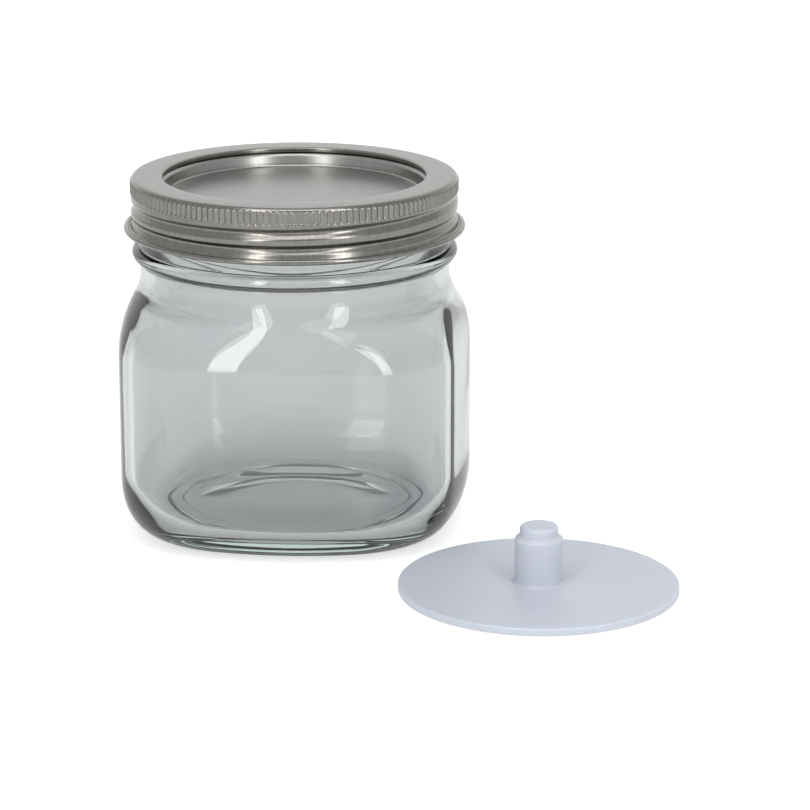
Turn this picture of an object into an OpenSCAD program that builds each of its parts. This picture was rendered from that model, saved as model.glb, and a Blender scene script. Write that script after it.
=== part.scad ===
// Wide-mouth preserving jar for sourdough starter, with a two-piece screw closure
// and a silicone vent lid lying beside it. Millimetres, +Z up, origin on the jar's
// axis in the plane of its foot. The flat sides of the body face along X and Y.

/* [Glass body] */
// Width of the body across two opposite flat sides
body_w = 97; // [94:0.5:108]
// Radius of the bow of each flat side, seen from above
side_bow_r = 118; // [100:1:180]
// Radius of the four upright corners, seen from above
corner_r = 28; // [22:0.5:34]
// Thickness of the side wall
wall = 3.6; // [2.5:0.1:5]
// Thickness of the glass under the contents
base_t = 6; // [4.5:0.1:9]
// Height from the start of the shoulder to the round neck
shoulder_h = 21.5; // [19:0.5:30]
// How long the shoulder's curve keeps on upwards from the side
side_ease = 12; // [8:0.5:13]
// How long the shoulder's curve leads upwards into the neck
neck_ease = 6; // [3:0.5:7]
// How far the heel rounds inwards
heel_w = 10; // [6:0.5:14]
// How high the heel's rounding reaches
heel_h = 16; // [10:0.5:22]
// How square the foot is, from round at 0 to the body's own plan at 1
foot_square = 0.6; // [0:0.05:1]

/* [Glass foot] */
// Distance of the standing ring inside the foot of the heel
foot_step = 1.3; // [0.8:0.1:4]
// Width of that ring
foot_w = 4.4; // [3:0.1:6]
// How far the ring stands below the heel
foot_h = 0.6; // [0.4:0.1:1.5]
// Height of the hollow at the middle of the underside
push_up = 2.4; // [1:0.1:3.5]

/* [Glass neck and finish] */
// Height of the rim
rim_z = 94.9; // [80:0.1:130]
// Radius of the mouth
mouth_r = 36; // [34:0.1:38]
// Thickness of the glass round the mouth
finish_wall = 5.2; // [4.4:0.1:6]
// Depth of the mouth's parallel part
mouth_depth = 13; // [10:0.5:15]
// Rounding of the rim's outer edge
rim_round = 1.4; // [0.8:0.1:2]
// Rounding of the rim's inner edge
mouth_round = 0.5; // [0.3:0.1:0.8]
// Distance from the rim down to the middle of the transfer bead
bead_below = 17.8; // [17.4:0.1:20]
// Height of the bead, top to bottom
bead_h = 4; // [3:0.1:5]
// How far the bead stands out from the neck
bead_out = 2.2; // [1.5:0.1:3]
// Distance from the bead's middle down to the end of the neck
neck_below = 5.6; // [4:0.1:8]
// How far the neck stands out from the finish
neck_out = 1.5; // [0.5:0.1:2]
// Thickness of the neck's wall
neck_wall = 4.3; // [3.4:0.1:5]
// Height of the neck's bore before it narrows to the mouth
bore_h = 2; // [1:0.1:4]

/* [Lid disc] */
// Thickness of the disc's sheet metal
disc_t = 0.4; // [0.3:0.05:0.6]
// How far the disc reaches past the finish
disc_over = 2; // [1.6:0.1:2.4]
// Rounding of the disc's outer edge
disc_round = 0.8; // [0.6:0.1:1.2]
// Height of the turned-down outer edge
disc_lip = 1.6; // [1.3:0.1:2.2]
// Gap round the recessed panel where it drops into the mouth
panel_gap = 0.6; // [0.4:0.1:1.2]
// Depth of the panel under the raised ring
panel_depth = 3.6; // [3.4:0.1:5]
// Depth of the step's upper, slanted part
slant_depth = 2.6; // [2:0.1:2.8]
// How far that part slants outwards
slant_w = 0.5; // [0.2:0.1:0.8]
// Rounding of the raised ring's inner edge
ring_round = 1.4; // [1:0.1:1.8]
// Rounding at the foot of the step
panel_round = 0.6; // [0.4:0.1:0.8]

/* [Sealing ring] */
// Thickness of the ring
seal_t = 1.1; // [0.8:0.1:1.6]
// Distance of the ring's inner edge outside the raised ring's rounding
seal_inset = 0.3; // [0:0.1:1]
// How far the ring reaches past the finish
seal_over = 0.2; // [0:0.1:0.6]
// Rounding of its lower edges
seal_round = 0.3; // [0.2:0.05:0.5]

/* [Screw band] */
// Thickness of the band's sheet metal
band_t = 0.5; // [0.4:0.05:0.7]
// Gap round the lid disc inside the band
band_gap = 1.25; // [1.15:0.05:1.6]
// Rounding between the flange and the wall
band_round = 1.2; // [0.8:0.1:1.6]
// Height of the band, top of the flange to the bottom of the curl
band_h = 14.95; // [14.5:0.05:15.8]
// How far the opening in the flange is wider than the mouth, as a radius
window_step = 0.2; // [0:0.1:0.6]
// Thickness of the hem round that opening
hem_t = 1.4; // [1.1:0.1:1.8]
// Width of the hem
hem_w = 2; // [1.5:0.1:3]
// Rounding of the hem
hem_round = 0.5; // [0.3:0.05:0.55]
// Distance from the flange's top to the knurled strip
knurl_top = 0.9; // [0.7:0.1:1.2]
// Height of the knurled strip
knurl_h = 3.6; // [3:0.1:4]
// Number of flutes round the knurled strip
flutes = 160; // [120:4:180]
// Depth of the flutes
flute_depth = 0.3; // [0.2:0.05:0.4]
// Height of each rolled groove
groove_h = 3.8; // [3:0.1:4]
// Depth of each rolled groove
groove_depth = 1; // [0.6:0.1:1.1]
// Plain strip between the knurl and the upper groove
groove_gap = 0.5; // [0.2:0.1:1]
// Height of the lower groove's middle above the bottom of the curl
groove_rise = 3.55; // [3.4:0.05:4]
// Radius of the rolled curl at the bottom edge
curl_r = 0.75; // [0.6:0.05:0.9]
// How far the curl's middle stands out from the wall
curl_out = 1.35; // [1.2:0.05:1.6]
// Height of the flare from the wall out to the curl's middle
flare_to_curl = 1.2; // [1:0.05:1.4]

/* [Vent lid] */
// How far the silicone disc reaches past the mouth, as a radius
vent_over = 1.1; // [0.8:0.1:3]
// Thickness of the silicone disc
vent_t = 2; // [1.5:0.1:3]
// Rounding of the disc's edges
vent_round = 0.4; // [0.3:0.05:0.7]
// Overall height of the vent lid
vent_h = 17.7; // [15:0.1:22]
// Radius of the nipple
nipple_r = 6.4; // [6:0.1:8]
// Rounding where the nipple meets the disc
root_round = 1; // [0.5:0.1:2]
// How far the knob at the tip lies inside the nipple
knob_step = 1.3; // [0.6:0.1:1.6]
// Height of the knob, tip to where it flares to the nipple
knob_h = 2.4; // [2:0.1:4]
// Height of that flare
flare_h = 1.4; // [1:0.1:2]
// Rounding of the knob's top edge
tip_round = 1; // [0.5:0.1:1.5]
// Radius of the gas way inside the nipple
gas_r = 3.2; // [2.8:0.1:3.8]
// Thickness of the slitted skin over the gas way
slit_skin = 1.4; // [1:0.1:2]
// Distance of each end of the slit inside the gas way
slit_margin = 0.9; // [0.4:0.1:1.5]
// Width of the slit
slit_w = 0.3; // [0.2:0.05:0.5]

/* [Places and fits] */
// Running gap between flat faces of pieces that part
seat_gap = 0.1; // [0.05:0.05:0.2]
// Space between the vent lid and the jar, where the lid lies beside it
vent_space = 0.95; // [0.6:0.05:40]
// Bearing of the vent lid from the jar's front right corner, clockwise from +X
vent_bearing = 38.9; // [15:0.1:45]

/* [Hidden] */
$fn = 96;

// Segments of a quarter turn on rounded edges
quarter = 6;
// Points round each lofted section, in the outer and inner skins
outer_sides = 80;
inner_sides = 64;
// Shares of the shoulder's run where its plan stays square, and then turns round
square_hold = 0.08;
square_fade = 0.62;
// Step at the parting lines of the mould and its plunger, where finish and body meet
parting = 0.15;
// Height and inset of the overlap by which the finish is keyed into the body
key_h = 0.5;
key_w = 1;
// How far a cut runs past the face that it opens
past = 1;
// Overlap of two hollows that join
overlap = 0.01;

half_w = body_w / 2;
// Distance of a flat side's centre of curvature behind the axis
bow_back = side_bow_r - half_w;
// Place of each corner's centre along X and Y, so that corner and side meet smoothly
corner_c = (sqrt(2 * pow(side_bow_r - corner_r, 2) - pow(bow_back, 2)) - bow_back) / 2;
// Normal angle at which a flat side passes into a corner
join_a = atan2(corner_c, corner_c + bow_back);
foot_r = half_w - heel_w - foot_step;

// The glass is set out downwards from the rim
bead_z = rim_z - bead_below;
neck_z = bead_z - neck_below;
shoulder_z = neck_z - shoulder_h;
finish_r = mouth_r + finish_wall;
neck_r = finish_r + neck_out;
neck_bore_r = neck_r - neck_wall;

// The closure stacks up from the rim
seal_z = rim_z + seat_gap;
disc_z = seal_z + seal_t;
ring_z = disc_z + disc_t;
hem_z = ring_z + seat_gap;
band_z = hem_z + hem_t;
panel_z = ring_z - panel_depth;

// Radii of the closure, from the mouth and the finish
disc_r = finish_r + disc_over;
step_r = mouth_r - panel_gap - disc_t;
ring_r = step_r + slant_w + ring_round;
band_r = disc_r + band_gap + band_t;
window_r = mouth_r + window_step;
vent_r = mouth_r + vent_over;

function quarter_steps(n) = [for (i = [0:n]) 90 * i / n];
function arc(x, z, r, from, to, n) =
    [for (i = [0:n]) let (a = from + (to - from) * i / n) [x + r * cos(a), z + r * sin(a)]];
function smooth(t) = t <= 0 ? 0 : t >= 1 ? 1 : t * t * (3 - 2 * t);
function bezier(a, b, c, d, t) =
    a * pow(1 - t, 3) + 3 * b * t * pow(1 - t, 2) + 3 * c * t * t * (1 - t) + d * pow(t, 3);

// Plan of the body. Its outline is named by the direction of its normal, so that an
// even wall is the same outline drawn in along those normals.
function side_point(u) = [side_bow_r * cos(u) - bow_back, side_bow_r * sin(u)];
function corner_point(u) = [corner_c + corner_r * cos(u), sign(u) * corner_c + corner_r * sin(u)];
function plan_point(u) = abs(u) <= join_a ? side_point(u) : corner_point(u);
function turned(p, a) = [p.x * cos(a) - p.y * sin(a), p.x * sin(a) + p.y * cos(a)];
function direction(a) = [cos(a), sin(a)];
// How far the square plan lies outside a circle through the middles of its sides
function squareness(a) = let (side = 90 * round(a / 90), u = a - side)
    turned(plan_point(u) - half_w * direction(u), side);
// One ring of the skin: station = [height, half-width, share of squareness]
function ring(station, sides) = [for (i = [0:sides - 1]) let (
    a = 360 * i / sides,
    p = station[1] * direction(a) + station[2] * squareness(a)
) [p.x, p.y, station[0]]];

// Heel: a quarter ellipse from the foot up to the side
function heel(z, w, half, h, square, n) = [for (a = quarter_steps(n))
    [z + h * (1 - cos(a)), half - w * (1 - sin(a)), square + (1 - square) * sin(a)]];
// Shoulder: one smooth S from the side to the neck, turning from square to round
function shoulder(half, neck, n) = [for (i = [0:n]) let (
    t = i / n,
    p = bezier([half, shoulder_z], [half, shoulder_z + side_ease], [neck, neck_z - neck_ease], [neck, neck_z], t)
) [p.y, p.x, 1 - smooth((t - square_hold) / square_fade)]];

module skin(stations, sides) {
    rings = [for (s = stations) ring(s, sides)];
    last = len(stations) - 1;
    points = [for (r = rings) for (p = r) p];
    walls = [for (k = [0:last - 1]) for (i = [0:sides - 1])
        let (j = (i + 1) % sides, a = k * sides, b = a + sides)
        each [[a + i, b + i, b + j], [a + i, b + j, a + j]]];
    floor_face = [for (i = [0:sides - 1]) i];
    roof_face = [for (i = [sides - 1:-1:0]) last * sides + i];
    polyhedron(points, concat(walls, [floor_face, roof_face]));
}

// Neck, transfer bead and finish, outside
module finish_outside() {
    half_h = bead_h / 2;
    rotate_extrude() polygon(concat(
        [[0, neck_z - key_h], [neck_r - key_w, neck_z - key_h], [neck_r - key_w, neck_z]],
        [[neck_r, neck_z], [neck_r, bead_z - half_h]],
        [for (a = [-75:15:75]) [neck_r + bead_out * cos(a), bead_z + half_h * sin(a)]],
        [[finish_r, bead_z + half_h]],
        arc(finish_r - rim_round, rim_z - rim_round, rim_round, 0, 90, quarter),
        [[0, rim_z]]
    ));
}

// Mouth and neck, inside
module finish_inside() {
    mouth_z = rim_z - mouth_depth;
    bore_z = neck_z + bore_h;
    rotate_extrude() polygon(concat(
        [[0, neck_z - overlap], [neck_bore_r, neck_z - overlap]],
        [for (i = [0:8]) let (t = i / 8)
            [neck_bore_r + (mouth_r - neck_bore_r) * smooth(t), bore_z + (mouth_z - bore_z) * t]],
        arc(mouth_r + mouth_round, rim_z - mouth_round, mouth_round, 180, 90, quarter),
        [[mouth_r + mouth_round, rim_z + past], [0, rim_z + past]]
    ));
}

// Ring that the jar stands on, and the hollow inside it
module foot_ring() {
    rotate_extrude() polygon(concat(
        [[foot_r - foot_w, 2 * foot_h]],
        arc(foot_r - foot_w + foot_h, foot_h, foot_h, 180, 270, quarter),
        arc(foot_r - foot_h, foot_h, foot_h, 270, 360, quarter),
        [[foot_r, 2 * foot_h]]
    ));
}

module underside_hollow() {
    rim = foot_r - foot_w - foot_h;
    rotate_extrude() polygon(concat(
        [[0, -past], [rim, -past]],
        [for (i = [1:10]) let (t = i / 10) [rim * (1 - t), foot_h + (push_up - foot_h) * smooth(2 * t)]]
    ));
}

module glass_jar() {
    inner_half = half_w - wall;
    color([0.80, 0.84, 0.83, 0.45]) difference() {
        union() {
            skin(concat(
                heel(foot_h, heel_w, half_w, heel_h, foot_square, 9),
                shoulder(half_w, neck_r - parting, 12)
            ), outer_sides);
            finish_outside();
            foot_ring();
        }
        skin(concat(
            heel(base_t, heel_w - wall / 2, inner_half, heel_h - base_t / 2, foot_square, 7),
            shoulder(inner_half, neck_bore_r + parting, 10)
        ), inner_sides);
        finish_inside();
        underside_hollow();
    }
}

// Top face of the lid disc, from the turned-down edge in to the panel, drawn in by t
// along the sheet's thickness for its under face
function disc_face(t) = concat(
    [[disc_r - t, ring_z - disc_lip]],
    arc(disc_r - disc_round, ring_z - disc_round, disc_round - t, 0, 90, quarter),
    arc(ring_r, ring_z - ring_round, ring_round - t, 90, 180, quarter),
    [[step_r + t, ring_z - slant_depth]],
    arc(step_r - panel_round, panel_z + panel_round, panel_round + t, 0, -90, quarter),
    [[0, panel_z - t]]
);

module lid_disc() {
    upper = disc_face(0);
    under = disc_face(disc_t);
    color([0.62, 0.61, 0.58]) rotate_extrude() polygon(concat(
        upper, [for (i = [len(under) - 1:-1:0]) under[i]]
    ));
}

module sealing_ring() {
    inner = ring_r + seal_inset;
    outer = finish_r + seal_over;
    color([0.82, 0.80, 0.74]) rotate_extrude() polygon(concat(
        [[outer, disc_z], [inner, disc_z]],
        arc(inner + seal_round, seal_z + seal_round, seal_round, 180, 270, 3),
        arc(outer - seal_round, seal_z + seal_round, seal_round, 270, 360, 3)
    ));
}

// Outer radius of the band's wall at depth d below the flange's top
function bell(x) = abs(x) >= 1 ? 0 : (1 + cos(180 * x)) / 2;
function rolled_r(d) = let (
    upper = knurl_top + knurl_h + groove_gap + groove_h / 2,
    lower = band_h - groove_rise
) band_r - groove_depth * (bell((d - upper) * 2 / groove_h) + bell((d - lower) * 2 / groove_h));

module screw_band() {
    knurl_bottom = knurl_top + knurl_h;
    curl_x = band_r + curl_out;
    curl_z = band_z - band_h + curl_r;
    skirt_d = band_h - curl_r - flare_to_curl;
    rolled = [for (i = [0:24])
        let (d = knurl_bottom + (skirt_d - knurl_bottom) * i / 24) [rolled_r(d), band_z - d]];
    inner_rolled = [for (i = [24:-1:0]) rolled[i] - [band_t, 0]];
    hem_r = window_r + hem_w;
    flute_foot = band_r - flute_depth / 2;
    color([0.60, 0.59, 0.56]) union() {
        rotate_extrude() polygon(concat(
            arc(window_r + hem_round, band_z - hem_round, hem_round, 180, 90, 4),
            arc(band_r - band_round, band_z - band_round, band_round, 90, 0, quarter),
            rolled,
            [[band_r + 0.5 * band_t, curl_z + 0.7 * band_t]],
            arc(curl_x, curl_z, curl_r, 165, -150, 18),
            [[band_r - 0.2 * band_t, curl_z + 0.3 * band_t]],
            inner_rolled,
            arc(band_r - band_round, band_z - band_round, band_round - band_t, 0, 90, quarter),
            [[hem_r, band_z - band_t], [hem_r, hem_z + hem_round / 2], [hem_r - hem_round / 2, hem_z]],
            arc(window_r + hem_round, hem_z + hem_round, hem_round, 270, 180, 4)
        ));
        translate([0, 0, band_z - knurl_bottom]) linear_extrude(knurl_h) difference() {
            polygon([for (i = [0:4 * flutes - 1])
                (flute_foot + (floor(i / 2) % 2) * flute_depth) * direction(90 * i / flutes)]);
            circle(r = band_r - band_t / 2);
        }
    }
}

module vent_lid() {
    knob_r = nipple_r - knob_step;
    flare_z = vent_h - knob_h - flare_h;
    slit_l = 2 * (gas_r - slit_margin);
    place = plan_point(-vent_bearing) + (vent_space + vent_r) * direction(-vent_bearing);
    translate([place.x, place.y, 0]) color([0.78, 0.81, 0.86, 0.9]) difference() {
        rotate_extrude() polygon(concat(
            [[0, 0]],
            arc(vent_r - vent_round, vent_round, vent_round, 270, 360, 3),
            arc(vent_r - vent_round, vent_t - vent_round, vent_round, 0, 90, 3),
            arc(nipple_r + root_round, vent_t + root_round, root_round, 270, 180, quarter),
            [for (i = [0:6]) let (t = i / 6) [nipple_r - knob_step * smooth(t), flare_z + flare_h * t]],
            arc(knob_r - tip_round, vent_h - tip_round, tip_round, 0, 90, quarter),
            [[0, vent_h]]
        ));
        translate([0, 0, -past]) cylinder(r = gas_r, h = vent_h - slit_skin + past);
        translate([-slit_l / 2, -slit_w / 2, vent_h - slit_skin - past])
            cube([slit_l, slit_w, slit_skin + 2 * past]);
    }
}

glass_jar();
lid_disc();
sealing_ring();
screw_band();
vent_lid();
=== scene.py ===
"""Looks of the sourdough starter jar: glass, screw closure and silicone vent lid.

Shapes are set out in millimetres. Bump distances, lamps, stage and the finished meshes are in metres.
"""

import math

import bmesh
import bpy
import numpy as np
from mathutils import Matrix


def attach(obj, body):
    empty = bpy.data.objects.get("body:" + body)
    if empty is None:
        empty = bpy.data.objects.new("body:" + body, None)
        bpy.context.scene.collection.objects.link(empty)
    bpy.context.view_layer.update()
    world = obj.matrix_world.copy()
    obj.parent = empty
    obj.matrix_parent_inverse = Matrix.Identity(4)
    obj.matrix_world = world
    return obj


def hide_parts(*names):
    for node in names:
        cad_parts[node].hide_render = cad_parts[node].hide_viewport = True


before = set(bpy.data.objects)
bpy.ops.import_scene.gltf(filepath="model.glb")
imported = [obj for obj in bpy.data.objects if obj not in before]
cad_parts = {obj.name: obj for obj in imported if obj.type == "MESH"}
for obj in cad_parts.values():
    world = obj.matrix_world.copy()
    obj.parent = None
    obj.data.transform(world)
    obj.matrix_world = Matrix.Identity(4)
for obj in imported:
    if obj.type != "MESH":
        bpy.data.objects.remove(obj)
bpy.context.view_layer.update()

MM = 0.001

# Body and foot of the glass, as in the solids
BODY_W = 97.0
SIDE_BOW_R = 118.0
CORNER_R = 28.0
WALL = 3.6
BASE_T = 6.0
SHOULDER_Z = 50.0
SIDE_EASE = 12.0
NECK_EASE = 6.0
HEEL_W = 10.0
HEEL_H = 16.0
FOOT_SQUARE = 0.6
FOOT_STEP = 1.3
FOOT_W = 4.4
FOOT_H = 0.6
PUSH_UP = 2.4
# Shares of the shoulder's run where its plan stays square, and then turns round
SQUARE_HOLD = 0.08
SQUARE_FADE = 0.62

# Neck and finish of the glass, as in the solids
NECK_Z = 71.5
NECK_R = 42.7
NECK_BORE_R = 38.4
BORE_H = 2.0
BEAD_Z = 77.1
BEAD_H = 4.0
BEAD_OUT = 2.2
RIM_Z = 94.9
MOUTH_R = 36.0
FINISH_R = 41.2
MOUTH_DEPTH = 13.0
RIM_ROUND = 1.4
MOUTH_ROUND = 0.5

# Thread of the finish, which the solids leave out
THREAD_PITCH = 5.08
THREAD_HEIGHT = 1.2
THREAD_HALF = 1.5
THREAD_START_Z = 85.9
THREAD_TURNS = 1.2
# Share of a turn over which each end of the thread fades out
THREAD_FADE = 0.12

# Collar between the bead and the thread, which shows under the band and isn't in the solids
COLLAR_R = 43.3
COLLAR_TOP = 83.4
COLLAR_EASE = 1.4

# Where the rings of the glass lie between its named sizes
MIDDLE_SHARE = 0.04
NECK_RINGS = (72.7, 73.9)
BEAD_CLEAR = 0.25
BEAD_SWEEP = 85
FINISH_STEP = 0.3
MOUTH_MARGIN = 1.0

# Lid disc and its seal, as in the solids
DISC_T = 0.4
DISC_R = 43.2
DISC_ROUND = 0.8
DISC_LIP = 1.6
DISC_Z = 96.1
RING_Z = 96.5
RING_ROUND = 1.4
RING_R = 36.9
STEP_R = 35.0
SLANT_DEPTH = 2.6
PANEL_Z = 92.9
PANEL_ROUND = 0.6
SEAL_Z = 95.0
SEAL_ROUND = 0.3
SEAL_IN = 37.2
SEAL_OUT = 41.4
# Innermost ring of the panel
PANEL_MIDDLE_R = 0.8

# Screw band, as in the solids but for its deeper flutes
BAND_T = 0.5
BAND_R = 44.95
BAND_Z = 98.0
BAND_H = 14.95
BAND_ROUND = 1.2
WINDOW_R = 36.2
HEM_Z = 96.6
HEM_W = 2.0
HEM_ROUND = 0.5
KNURL_TOP = 0.9
KNURL_H = 3.6
FLUTES = 160
FLUTE_DEPTH = 0.42
CURL_R = 0.75
CURL_OUT = 1.35
FLARE_TO_CURL = 1.2
# Height over which the knurl's ends fade, and the part of a flute's wave that its flanks take
KNURL_EASE = 0.35
FLUTE_EDGE = 0.7
# The sheet beside the curl, as steps out from the wall and up from the curl's middle
FLARE_STEPS = ((0.1, 0.7), (0.25, 0.35))
RETURN_STEP = (-0.1, 0.15)
CURL_START = 165
CURL_END = -150

# The band's rolled groove, which winds down to the left, in place of the two plain ones of the solids:
# degrees run from the camera's bearing, depth of its middle below the flange, and how deep it is rolled
GROOVE_RUN = (-110, -90, -40, 0, 90, 180, 270, 360, 450, 500)
GROOVE_DOWN = (4.9, 5.1, 6.25, 6.95, 7.9, 9.1, 10.5, 11.35, 11.6, 11.6)
GROOVE_DEEP = (0.0, 0.35, 0.85, 1.0, 1.0, 0.9, 0.7, 0.8, 0.35, 0.0)
GROOVE_HALF = 1.75

# Vent lid, as in the solids
VENT_R = 37.1
VENT_T = 2.0
VENT_ROUND = 0.4
VENT_H = 17.7
NIPPLE_R = 6.4
ROOT_ROUND = 1.0
KNOB_STEP = 1.3
KNOB_H = 2.4
FLARE_H = 1.4
TIP_ROUND = 1.0
GAS_R = 3.2
SLIT_SKIN = 1.4
VENT_PLACE = (69.967, -60.041)
# Rounding at both ends of the gas way, which the solids leave sharp
GAS_ROUND = 0.3
# Slit in the tip, a shallow groove here and cut right through in the solids
SLIT_HALF_L = 2.3
SLIT_HALF_W = 0.16
SLIT_DEPTH = 0.7
# Reach of the slit's sloping sides, in half widths, and the half width that its ends keep
SLIT_SLOPE = 2.2
SLIT_END_W = 1e-6
# Innermost rings of the gas way's top and of the tip
GAS_MIDDLE_R = 0.2
TIP_MIDDLE_R = 0.1

# How far a point may lie off a face and still count as on it
TOUCH = 0.01

# Points round each piece
GLASS_SIDES = 256
DISC_SIDES = 256
SEAL_SIDES = 192
VENT_SIDES = 192
SIDES_PER_FLUTE = 6

# Colours
GLASS_COLOUR = (0.745, 0.748, 0.752)
GLASS_TINT = (0.78, 0.90, 0.86, 1.0)
LID_DARK = (0.33, 0.325, 0.31)
LID_LIGHT = (0.37, 0.36, 0.345)
BAND_DARK = (0.225, 0.217, 0.198)
BAND_LIGHT = (0.265, 0.256, 0.236)
SILICONE_DARK = (0.515, 0.54, 0.60)
SILICONE_LIGHT = (0.527, 0.552, 0.612)
COMPOUND_DARK = (0.68, 0.64, 0.54)
COMPOUND_LIGHT = (0.75, 0.71, 0.61)
WORLD_COLOUR = (0.98, 1.0, 1.02, 1.0)
WORLD_STRENGTH = 0.62
# Shares of the noise between which a colour runs from dark to light
RAMP_START = 0.35
RAMP_END = 0.65

# Stage and the point that the lamps face, in metres
STAGE_HALF = 2.2
STAGE_BACK = 1.6
STAGE_TOP = 2.4
FLOOR_Z = -0.0002
LAMP_TARGET = (0.02, -0.02, 0.05)

# Camera, fitted to the photograph: the jar's front turns four degrees from it
CAMERA_TURN = math.radians(4.0)
CAMERA_PITCH = math.radians(15.87)
CAMERA_BACK = 887.3
CAMERA_SIDE = 30.39
CAMERA_HEIGHT = 284.2
CAMERA_LENS = 146.36
SENSOR_W = 36.0
CLIP_START = 0.01
# Direction of the camera from the jar's axis, in degrees, from how far it stands in front and aside
CAMERA_BEARING = math.degrees(math.atan2(-883.0, 92.2))


def smooth(t):
    """Smooth step from 0 to 1."""
    t = np.clip(t, 0.0, 1.0)
    return t * t * (3 - 2 * t)


def bell(x):
    """Rounded bump, 1 at 0 and 0 from -1 and 1 outwards."""
    x = np.clip(x, -1.0, 1.0)
    return (1 + np.cos(np.pi * x)) / 2


def bezier(start, start_pull, end_pull, end, t):
    """A cubic run from start to end, drawn towards the two pulls between them."""
    return (start * (1 - t) ** 3 + 3 * start_pull * t * (1 - t) ** 2
            + 3 * end_pull * t * t * (1 - t) + end * t ** 3)


def arc(x, z, r, start, end, steps):
    """Points of a circular arc in a profile, angles in degrees."""
    angles = np.radians(np.linspace(start, end, steps + 1))
    return [(x + r * math.cos(a), z + r * math.sin(a)) for a in angles]


def line(start, end, steps):
    """Points of a straight run, without its first point."""
    shares = np.arange(1, steps + 1) / steps
    return [(start[0] + (end[0] - start[0]) * t, start[1] + (end[1] - start[1]) * t) for t in shares]


def directions(count):
    """Angles round the axis and their unit vectors."""
    angles = np.arange(count) * 2 * np.pi / count
    return angles, np.stack([np.cos(angles), np.sin(angles)], 1)


def squareness(angles):
    """How far the body's square plan lies outside a circle, at each direction of its normal."""
    half = BODY_W / 2
    back = SIDE_BOW_R - half
    corner = (math.sqrt(2 * (SIDE_BOW_R - CORNER_R) ** 2 - back ** 2) - back) / 2
    join = math.atan2(corner, corner + back)
    side = np.round(angles / (np.pi / 2)) * np.pi / 2
    u = angles - side
    side_x = SIDE_BOW_R * np.cos(u) - back
    side_y = SIDE_BOW_R * np.sin(u)
    corner_x = corner + CORNER_R * np.cos(u)
    corner_y = np.sign(u) * corner + CORNER_R * np.sin(u)
    on_side = np.abs(u) <= join
    x = np.where(on_side, side_x, corner_x) - half * np.cos(u)
    y = np.where(on_side, side_y, corner_y) - half * np.sin(u)
    return np.stack([x * np.cos(side) - y * np.sin(side), x * np.sin(side) + y * np.cos(side)], 1)


def linked(name, data):
    """A new object of the scene that shows the data."""
    made = bpy.data.objects.new(name, data)
    bpy.context.scene.collection.objects.link(made)
    return made


def skin_object(name, rings, poles=(), place=(0.0, 0.0)):
    """A closed mesh through rings of equal count.

    poles are the middle points that close its two ends. Without them the last ring joins the first.
    """
    count = len(rings[0])
    last = len(rings) - 1
    points = [tuple(p) for ring in rings for p in ring]
    faces = []
    pairs = [(k, k + 1) for k in range(last)]
    if not poles:
        pairs.append((last, 0))
    for low, high in pairs:
        for i in range(count):
            j = (i + 1) % count
            faces.append((low * count + i, low * count + j, high * count + j, high * count + i))
    for end, pole in zip((0, last), poles):
        middle = len(points)
        points.append(pole)
        for i in range(count):
            faces.append((end * count + i, end * count + (i + 1) % count, middle))
    mesh = bpy.data.meshes.new(name)
    placed = [((x + place[0]) * MM, (y + place[1]) * MM, z * MM) for x, y, z in points]
    mesh.from_pydata(placed, [], faces)
    turned = bmesh.new()
    turned.from_mesh(mesh)
    bmesh.ops.recalc_face_normals(turned, faces=turned.faces)
    turned.to_mesh(mesh)
    turned.free()
    mesh.polygons.foreach_set("use_smooth", [True] * len(mesh.polygons))
    return linked(name, mesh)


def revolved(profile, count, offset=None):
    """Rings of a turned profile. offset(angles, x, z) moves each point in or out."""
    angles, unit = directions(count)
    rings = []
    for x, z in profile:
        radius = np.full(count, x)
        if offset is not None:
            radius = radius + offset(angles, x, z)
        rings.append(np.column_stack([unit * radius[:, None], np.full(count, z)]))
    return rings


def shader_of(made):
    """The principled shader of a material."""
    return made.node_tree.nodes["Principled BSDF"]


def material(name, colour, roughness, metallic=0.0):
    """A principled material with its plain values."""
    made = bpy.data.materials.new(name)
    made.use_nodes = True
    shader = shader_of(made)
    shader.inputs["Base Color"].default_value = (*colour, 1.0)
    shader.inputs["Roughness"].default_value = roughness
    shader.inputs["Metallic"].default_value = metallic
    return made


def bumped(made, scale, strength, distance, detail, stretch=(1, 1, 1)):
    """Fine relief on a material, from noise in the object's own coordinates. Returns the noise."""
    nodes = made.node_tree.nodes
    links = made.node_tree.links
    place = nodes.new("ShaderNodeTexCoord")
    mapping = nodes.new("ShaderNodeMapping")
    mapping.inputs["Scale"].default_value = stretch
    noise = nodes.new("ShaderNodeTexNoise")
    noise.inputs["Scale"].default_value = scale
    noise.inputs["Detail"].default_value = detail
    bump = nodes.new("ShaderNodeBump")
    bump.inputs["Strength"].default_value = strength
    bump.inputs["Distance"].default_value = distance
    links.new(place.outputs["Object"], mapping.inputs["Vector"])
    links.new(mapping.outputs["Vector"], noise.inputs["Vector"])
    links.new(noise.outputs["Fac"], bump.inputs["Height"])
    links.new(bump.outputs["Normal"], shader_of(made).inputs["Normal"])
    return noise


def grained(name, dark, light, roughness, metallic, **relief):
    """A material with fine relief, whose colour follows that relief between dark and light."""
    made = material(name, light, roughness, metallic)
    links = made.node_tree.links
    noise = bumped(made, **relief)
    ramp = made.node_tree.nodes.new("ShaderNodeValToRGB")
    stops = ramp.color_ramp.elements
    stops[0].position = RAMP_START
    stops[1].position = RAMP_END
    stops[0].color = (*dark, 1.0)
    stops[1].color = (*light, 1.0)
    links.new(noise.outputs["Fac"], ramp.inputs["Fac"])
    links.new(ramp.outputs["Color"], shader_of(made).inputs["Base Color"])
    return made


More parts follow.
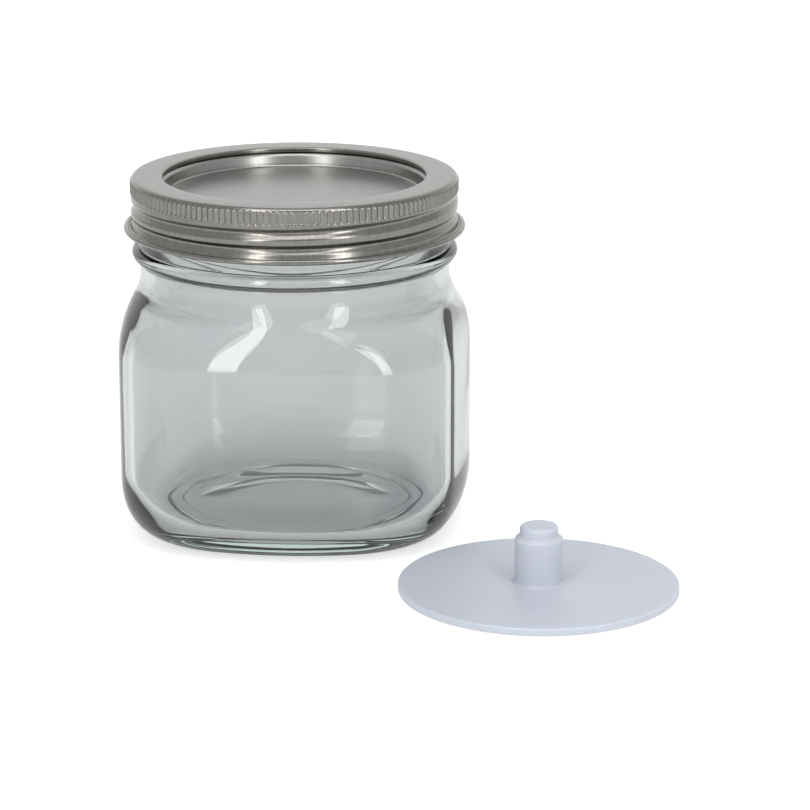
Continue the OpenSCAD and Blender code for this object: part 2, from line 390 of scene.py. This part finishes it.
def make_glass():
    """Clear soda glass, faintly green where it is thick."""
    made = material("clear_glass", GLASS_COLOUR, roughness=0.0)
    shader = shader_of(made)
    shader.inputs["Transmission Weight"].default_value = 1.0
    shader.inputs["IOR"].default_value = 1.5
    bumped(made, scale=45.0, strength=0.10, distance=0.0006, detail=1.0)
    tint = made.node_tree.nodes.new("ShaderNodeVolumeAbsorption")
    tint.inputs["Color"].default_value = GLASS_TINT
    tint.inputs["Density"].default_value = 20.0
    output = made.node_tree.nodes["Material Output"]
    made.node_tree.links.new(tint.outputs["Volume"], output.inputs["Volume"])
    return made


def make_steel(name, dark, light, roughness):
    """Plated steel sheet with a satin rolled surface."""
    return grained(name, dark, light, roughness, metallic=1.0, scale=900.0, strength=0.06,
                   distance=0.0001, detail=3.0, stretch=(1, 1, 0.25))


def make_silicone():
    """Milky silicone that lets some light through."""
    made = grained("milky_silicone", SILICONE_DARK, SILICONE_LIGHT, roughness=0.42, metallic=0.0,
                   scale=260.0, strength=0.05, distance=0.0002, detail=2.0)
    shader = shader_of(made)
    shader.inputs["Subsurface Weight"].default_value = 0.4
    shader.inputs["Subsurface Radius"].default_value = (0.6, 0.8, 1.0)
    shader.inputs["Subsurface Scale"].default_value = 0.004
    return made


def make_compound():
    """Matt cream sealing compound."""
    return grained("sealing_compound", COMPOUND_DARK, COMPOUND_LIGHT, roughness=0.6, metallic=0.0,
                   scale=500.0, strength=0.15, distance=0.0001, detail=3.0)


def thread_relief(angles, z):
    """Right-handed thread round the finish, as moves outwards at one height."""
    turns = (z - THREAD_START_Z) / THREAD_PITCH
    share = angles / (2 * np.pi)
    whole = np.round(turns - share)
    off_crest = (turns - share - whole) * THREAD_PITCH
    along = whole + share
    ends = smooth(along / THREAD_FADE) * smooth((THREAD_TURNS - along) / THREAD_FADE)
    return THREAD_HEIGHT * bell(off_crest / THREAD_HALF) * ends


def glass_rings(count):
    """The whole skin of the glass, from under its middle, up the outside and down the inside.

    The last number of each run is its count of rings, and that of each arc its steps.
    """
    angles, unit = directions(count)
    square = squareness(angles)
    rings = []

    def put(z, half, share=0.0, relief=0.0):
        """Adds a ring at height z, with its half width, how square it is and its relief outwards."""
        radius = np.full(count, half) + relief
        plan = unit * radius[:, None] + share * square
        rings.append(np.column_stack([plan, np.full(count, z)]))

    def put_round(points):
        """Adds a round ring at each point of a profile."""
        for x, z in points:
            put(z, x)

    def heel(z, width, half, height, turn):
        """Rings of the rounding from the foot to the side, at the angles in turn."""
        for a in turn:
            share = FOOT_SQUARE + (1 - FOOT_SQUARE) * math.sin(a)
            put(z + height * (1 - math.cos(a)), half - width * (1 - math.sin(a)), share)

    def side(bottom, half, run):
        """Rings of the side between heel and shoulder, at the shares in run but for both ends."""
        for t in run[1:-1]:
            put(bottom + (SHOULDER_Z - bottom) * t, half, 1.0)

    def shoulder(half, neck, run):
        """Rings from the square side to the round neck, at the shares in run."""
        for t in run:
            z = bezier(SHOULDER_Z, SHOULDER_Z + SIDE_EASE, NECK_Z - NECK_EASE, NECK_Z, t)
            share = 1 - float(smooth((t - SQUARE_HOLD) / SQUARE_FADE))
            put(z, bezier(half, half, neck, neck, t), share)

    # Underside: the hollow, which rises over its outer half, and the standing ring
    half = BODY_W / 2
    foot_r = half - HEEL_W - FOOT_STEP
    hollow_r = foot_r - FOOT_W - FOOT_H
    for share in np.linspace(MIDDLE_SHARE, 1, 16):
        put(FOOT_H + (PUSH_UP - FOOT_H) * float(smooth(2 * (1 - share))), hollow_r * share)
    put_round(arc(foot_r - FOOT_W + FOOT_H, FOOT_H, FOOT_H, 180, 270, 5))
    put_round(arc(foot_r - FOOT_H, FOOT_H, FOOT_H, 270, 360, 5))

    # Outside, from the heel up to the neck
    heel(FOOT_H, HEEL_W, half, HEEL_H, np.linspace(0, math.pi / 2, 25))
    side(FOOT_H + HEEL_H, half, np.linspace(0, 1, 10))
    shoulder(half, NECK_R, np.linspace(0, 1, 41))

    # Bead, collar and threaded finish, and the two roundings of the rim
    for z in (*NECK_RINGS, BEAD_Z - BEAD_H / 2 - BEAD_CLEAR):
        put(z, NECK_R)
    for a in np.radians(np.linspace(-BEAD_SWEEP, BEAD_SWEEP, 19)):
        put(BEAD_Z + BEAD_H / 2 * math.sin(a), NECK_R + BEAD_OUT * math.cos(a))
    for z in np.arange(BEAD_Z + BEAD_H / 2 + FINISH_STEP, RIM_Z - RIM_ROUND, FINISH_STEP):
        radius = COLLAR_R + (FINISH_R - COLLAR_R) * float(smooth((z - COLLAR_TOP) / COLLAR_EASE))
        put(z, radius, relief=thread_relief(angles, z))
    put_round(arc(FINISH_R - RIM_ROUND, RIM_Z - RIM_ROUND, RIM_ROUND, 0, 90, 7))
    put_round(arc(MOUTH_R + MOUTH_ROUND, RIM_Z - MOUTH_ROUND, MOUTH_ROUND, 90, 180, 5))

    # Inside: the mouth, and the neck's bore that widens below it
    mouth_z = RIM_Z - MOUTH_DEPTH
    bore_z = NECK_Z + BORE_H
    for z in np.linspace(RIM_Z - MOUTH_ROUND - MOUTH_MARGIN, mouth_z + MOUTH_MARGIN, 8):
        put(z, MOUTH_R)
    for t in np.linspace(1, 0, 12):
        radius = NECK_BORE_R + (MOUTH_R - NECK_BORE_R) * float(smooth(t))
        put(bore_z + (mouth_z - bore_z) * t, radius)

    # Inside, from the shoulder down to the middle of the base
    inner_half = half - WALL
    inner_heel_w = HEEL_W - WALL / 2
    inner_heel_h = HEEL_H - BASE_T / 2
    shoulder(inner_half, NECK_BORE_R, np.linspace(1, 0, 37))
    side(BASE_T + inner_heel_h, inner_half, np.linspace(1, 0, 10))
    heel(BASE_T, inner_heel_w, inner_half, inner_heel_h, np.linspace(0, math.pi / 2, 23)[::-1])
    for share in np.linspace(1, MIDDLE_SHARE, 14)[1:]:
        put(BASE_T, (inner_half - inner_heel_w) * share, FOOT_SQUARE * share)
    return rings


def make_jar():
    """The glass as one closed skin, with its thread."""
    jar = skin_object("glass_jar_clear", glass_rings(GLASS_SIDES), [(0, 0, PUSH_UP), (0, 0, BASE_T)])
    jar.data.materials.append(make_glass())
    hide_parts("glass_jar")
    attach(jar, "jar")


def disc_profile(inwards):
    """The lid disc's upper face, or its under face when drawn in by the sheet's thickness."""
    points = [(DISC_R - inwards, RING_Z - DISC_LIP)]
    points += arc(DISC_R - DISC_ROUND, RING_Z - DISC_ROUND, DISC_ROUND - inwards, 0, 90, 6)
    points += arc(RING_R, RING_Z - RING_ROUND, RING_ROUND - inwards, 90, 180, 10)
    points += [(STEP_R + inwards, RING_Z - SLANT_DEPTH)]
    points += arc(STEP_R - PANEL_ROUND, PANEL_Z + PANEL_ROUND, PANEL_ROUND + inwards, 0, -90, 6)
    points += line((STEP_R - PANEL_ROUND, PANEL_Z - inwards), (PANEL_MIDDLE_R, PANEL_Z - inwards), 14)
    return points


def make_lid():
    """The lid disc, and the ring of sealing compound under it."""
    rings = revolved(disc_profile(0.0), DISC_SIDES)[::-1] + revolved(disc_profile(DISC_T), DISC_SIDES)
    lid = skin_object("lid_disc_plated", rings, [(0, 0, PANEL_Z), (0, 0, PANEL_Z - DISC_T)])
    lid.data.materials.append(make_steel("lid_plate", LID_DARK, LID_LIGHT, roughness=0.28))
    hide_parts("lid_disc")
    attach(lid, "lid")

    profile = [(SEAL_OUT, DISC_Z), (SEAL_IN, DISC_Z)]
    profile += arc(SEAL_IN + SEAL_ROUND, SEAL_Z + SEAL_ROUND, SEAL_ROUND, 180, 270, 4)
    profile += arc(SEAL_OUT - SEAL_ROUND, SEAL_Z + SEAL_ROUND, SEAL_ROUND, 270, 360, 4)
    seal = skin_object("sealing_ring_compound", revolved(profile, SEAL_SIDES))
    seal.data.materials.append(make_compound())
    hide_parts("sealing_ring")
    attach(seal, "lid")


def band_relief(angles, z):
    """Rolled thread groove and knurled strip of the band, as moves in or out at one height."""
    depth = BAND_Z - z
    to_left = CAMERA_BEARING - np.degrees(angles)
    moved = np.zeros(len(angles))
    for turn in range(-3, 4):
        run = to_left + 360 * turn
        middle = np.interp(run, GROOVE_RUN, GROOVE_DOWN)
        deep = np.interp(run, GROOVE_RUN, GROOVE_DEEP, left=0.0, right=0.0)
        moved -= deep * bell((depth - middle) / GROOVE_HALF)
    below_top = smooth((depth - KNURL_TOP) / KNURL_EASE)
    above_foot = smooth((KNURL_TOP + KNURL_H - depth) / KNURL_EASE)
    in_knurl = below_top * above_foot
    wave = np.sin(angles * FLUTES)
    flute = smooth((wave + FLUTE_EDGE) / (2 * FLUTE_EDGE)) - 0.5
    moved = moved * (1 - in_knurl)
    return moved + in_knurl * FLUTE_DEPTH * flute


def make_band():
    """The rolled band, in one profile from the hem over the flange, down the wall and back up inside."""
    curl_x = BAND_R + CURL_OUT
    curl_z = BAND_Z - BAND_H + CURL_R
    knurl_z = BAND_Z - BAND_ROUND
    skirt_z = curl_z + FLARE_TO_CURL
    hem_r = WINDOW_R + HEM_W
    top = arc(WINDOW_R + HEM_ROUND, BAND_Z - HEM_ROUND, HEM_ROUND, 180, 90, 6)
    top += line((WINDOW_R + HEM_ROUND, BAND_Z), (BAND_R - BAND_ROUND, BAND_Z), 4)
    top += arc(BAND_R - BAND_ROUND, BAND_Z - BAND_ROUND, BAND_ROUND, 90, 0, 8)[1:]
    wall = line((BAND_R, knurl_z), (BAND_R, skirt_z), 56)
    foot = [(BAND_R + out, curl_z + up) for out, up in FLARE_STEPS]
    foot += arc(curl_x, curl_z, CURL_R, CURL_START, CURL_END, 22)
    foot += [(BAND_R + RETURN_STEP[0], curl_z + RETURN_STEP[1])]
    inside = line((BAND_R - BAND_T, skirt_z), (BAND_R - BAND_T, knurl_z), 40)
    inside += arc(BAND_R - BAND_ROUND, BAND_Z - BAND_ROUND, BAND_ROUND - BAND_T, 0, 90, 6)
    inside += [(hem_r, BAND_Z - BAND_T), (hem_r, HEM_Z + HEM_ROUND / 2), (hem_r - HEM_ROUND / 2, HEM_Z)]
    inside += arc(WINDOW_R + HEM_ROUND, HEM_Z + HEM_ROUND, HEM_ROUND, 270, 180, 5)

    def relief(angles, x, z):
        """Moves of the wall's two faces. The rest of the profile keeps its place."""
        on_wall = BAND_R - BAND_T - TOUCH <= x <= BAND_R + TOUCH
        in_reach = skirt_z <= z <= BAND_Z - KNURL_TOP
        if on_wall and in_reach:
            return band_relief(angles, z)
        return np.zeros(len(angles))

    rings = revolved(top + wall + foot + inside, FLUTES * SIDES_PER_FLUTE, relief)
    band = skin_object("screw_band_rolled", rings)
    band.data.materials.append(make_steel("band_plate", BAND_DARK, BAND_LIGHT, roughness=0.20))
    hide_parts("screw_band")
    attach(band, "band")


def sink_slit(rings):
    """Sinks the slit into the rings of the vent lid's tip."""
    for ring in rings:
        x = ring[:, 0]
        y = ring[:, 1]
        on_tip = ring[:, 2] > VENT_H - TOUCH
        opening = SLIT_HALF_W * np.sqrt(np.clip(1 - (x / SLIT_HALF_L) ** 2, 0, 1)) + SLIT_END_W
        sunk = SLIT_DEPTH * bell(y / (SLIT_SLOPE * opening)) * (np.abs(x) < SLIT_HALF_L)
        ring[:, 2] -= np.where(on_tip, sunk, 0.0)


def make_vent_lid():
    """The silicone lid, in one profile from the gas way under the disc and up to the tip."""
    knob_r = NIPPLE_R - KNOB_STEP
    flare_z = VENT_H - KNOB_H - FLARE_H
    gas_top = VENT_H - SLIT_SKIN
    profile = line((GAS_MIDDLE_R, gas_top), (GAS_R - GAS_ROUND, gas_top), 8)
    profile += arc(GAS_R - GAS_ROUND, gas_top - GAS_ROUND, GAS_ROUND, 90, 0, 3)
    profile += line((GAS_R, gas_top - GAS_ROUND), (GAS_R, GAS_ROUND), 10)
    profile += [(GAS_R + GAS_ROUND, 0.0)]
    profile += line((GAS_R + GAS_ROUND, 0.0), (VENT_R - VENT_ROUND, 0.0), 12)
    profile += arc(VENT_R - VENT_ROUND, VENT_ROUND, VENT_ROUND, 270, 360, 5)[1:]
    profile += arc(VENT_R - VENT_ROUND, VENT_T - VENT_ROUND, VENT_ROUND, 0, 90, 5)
    profile += line((VENT_R - VENT_ROUND, VENT_T), (NIPPLE_R + ROOT_ROUND, VENT_T), 14)
    profile += arc(NIPPLE_R + ROOT_ROUND, VENT_T + ROOT_ROUND, ROOT_ROUND, 270, 180, 8)[1:]
    profile += line((NIPPLE_R, VENT_T + ROOT_ROUND), (NIPPLE_R, flare_z), 6)
    for t in np.linspace(0, 1, 11)[1:]:
        profile.append((NIPPLE_R - KNOB_STEP * float(smooth(t)), flare_z + FLARE_H * t))
    profile += arc(knob_r - TIP_ROUND, VENT_H - TIP_ROUND, TIP_ROUND, 0, 90, 8)
    profile += line((knob_r - TIP_ROUND, VENT_H), (TIP_MIDDLE_R, VENT_H), 30)
    rings = revolved(profile, VENT_SIDES)
    sink_slit(rings)
    poles = [(0, 0, gas_top), (0, 0, VENT_H - SLIT_DEPTH)]
    vent = skin_object("vent_lid_silicone", rings, poles, VENT_PLACE)
    vent.data.materials.append(make_silicone())
    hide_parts("vent_lid")
    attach(vent, "vent_lid")


def plane(name, corners, surface):
    """A flat piece of the stage."""
    mesh = bpy.data.meshes.new(name)
    mesh.from_pydata(corners, [], [(0, 1, 2, 3)])
    mesh.materials.append(surface)
    piece = linked(name, mesh)


def studio_surface(name, albedo, glow, seen_glow):
    """A pale studio surface: grey in reflections and through glass, white where it is seen directly."""
    made = material(name, (albedo, albedo, albedo), roughness=0.9)
    shader = shader_of(made)
    nodes = made.node_tree.nodes
    links = made.node_tree.links
    shader.inputs["Emission Color"].default_value = (1.0, 1.0, 1.0, 1.0)
    shader.inputs["Specular IOR Level"].default_value = 0.0
    path = nodes.new("ShaderNodeLightPath")
    strength = nodes.new("ShaderNodeMapRange")
    strength.inputs["To Min"].default_value = glow
    strength.inputs["To Max"].default_value = seen_glow
    links.new(path.outputs["Is Camera Ray"], strength.inputs["Value"])
    links.new(strength.outputs["Result"], shader.inputs["Emission Strength"])
    return made


def make_stage():
    """The floor under the object and the backdrop behind it."""
    floor_white = studio_surface("stage_white", albedo=0.74, glow=0.26, seen_glow=0.55)
    wall_white = studio_surface("backdrop_white", albedo=0.6, glow=0.48, seen_glow=1.0)
    low = -STAGE_HALF
    high = STAGE_HALF
    square = ((low, low), (high, low), (high, high), (low, high))
    plane("stage_floor", [(x, y, FLOOR_Z) for x, y in square], floor_white)
    upright = ((low, FLOOR_Z), (high, FLOOR_Z), (high, STAGE_TOP), (low, STAGE_TOP))
    plane("stage_backdrop", [(x, STAGE_BACK, z) for x, z in upright], wall_white)


def set_axes(item, right, up, back, place):
    """Places an object in the scene, with its own axes pointing right, up and back."""
    rows = [[right[k], up[k], back[k], place[k]] for k in range(3)]
    item.matrix_world = Matrix(rows + [[0, 0, 0, 1]])


def around(degrees, distance, height):
    """A place round the jar, by its bearing to the right of the camera."""
    angle = math.radians(CAMERA_BEARING + degrees)
    return (distance * math.cos(angle), distance * math.sin(angle), height)


def soft_light(name, place, width, height, power):
    """A soft rectangular lamp at a place, turned to the lamps' target."""
    data = bpy.data.lights.new(name, "AREA")
    data.shape = "RECTANGLE"
    data.size = width
    data.size_y = height
    data.energy = power
    from_lamp = np.array(LAMP_TARGET) - np.array(place)
    away = -from_lamp / np.linalg.norm(from_lamp)
    side = np.cross((0, 0, 1), away)
    side = side / np.linalg.norm(side)
    set_axes(linked(name, data), side, np.cross(away, side), away, place)


def make_lights():
    """An even world, a lamp overhead and a tall lamp at each side of the camera."""
    world = bpy.data.worlds.new("studio")
    bpy.context.scene.world = world
    world.use_nodes = True
    background = world.node_tree.nodes["Background"]
    background.inputs["Color"].default_value = WORLD_COLOUR
    background.inputs["Strength"].default_value = WORLD_STRENGTH
    soft_light("top_softbox", around(-8, distance=0.42, height=1.15), width=0.9, height=0.7, power=3.9)
    soft_light("left_softbox", around(-27, distance=1.0, height=0.50), width=0.17, height=1.0, power=2.7)
    soft_light("right_softbox", around(33, distance=1.0, height=0.50), width=0.21, height=1.0, power=3.2)


def make_camera():
    """The camera, in the place and at the pitch fitted to the photograph."""
    turn = (math.cos(CAMERA_TURN), math.sin(CAMERA_TURN))
    x = CAMERA_SIDE * turn[0] + CAMERA_BACK * turn[1]
    y = CAMERA_SIDE * turn[1] - CAMERA_BACK * turn[0]
    level = math.cos(CAMERA_PITCH)
    forward = np.array([-turn[1] * level, turn[0] * level, -math.sin(CAMERA_PITCH)])
    right = np.array([turn[0], turn[1], 0.0])
    data = bpy.data.cameras.new("camera")
    data.lens = CAMERA_LENS
    data.sensor_width = SENSOR_W
    data.clip_start = CLIP_START
    camera = linked("camera", data)
    set_axes(camera, right, np.cross(right, forward), -forward, (x * MM, y * MM, CAMERA_HEIGHT * MM))
    bpy.context.scene.camera = camera


make_jar()
make_lid()
make_band()
make_vent_lid()
make_stage()
make_lights()
make_camera()
bpy.context.scene.view_settings.view_transform = "Standard"
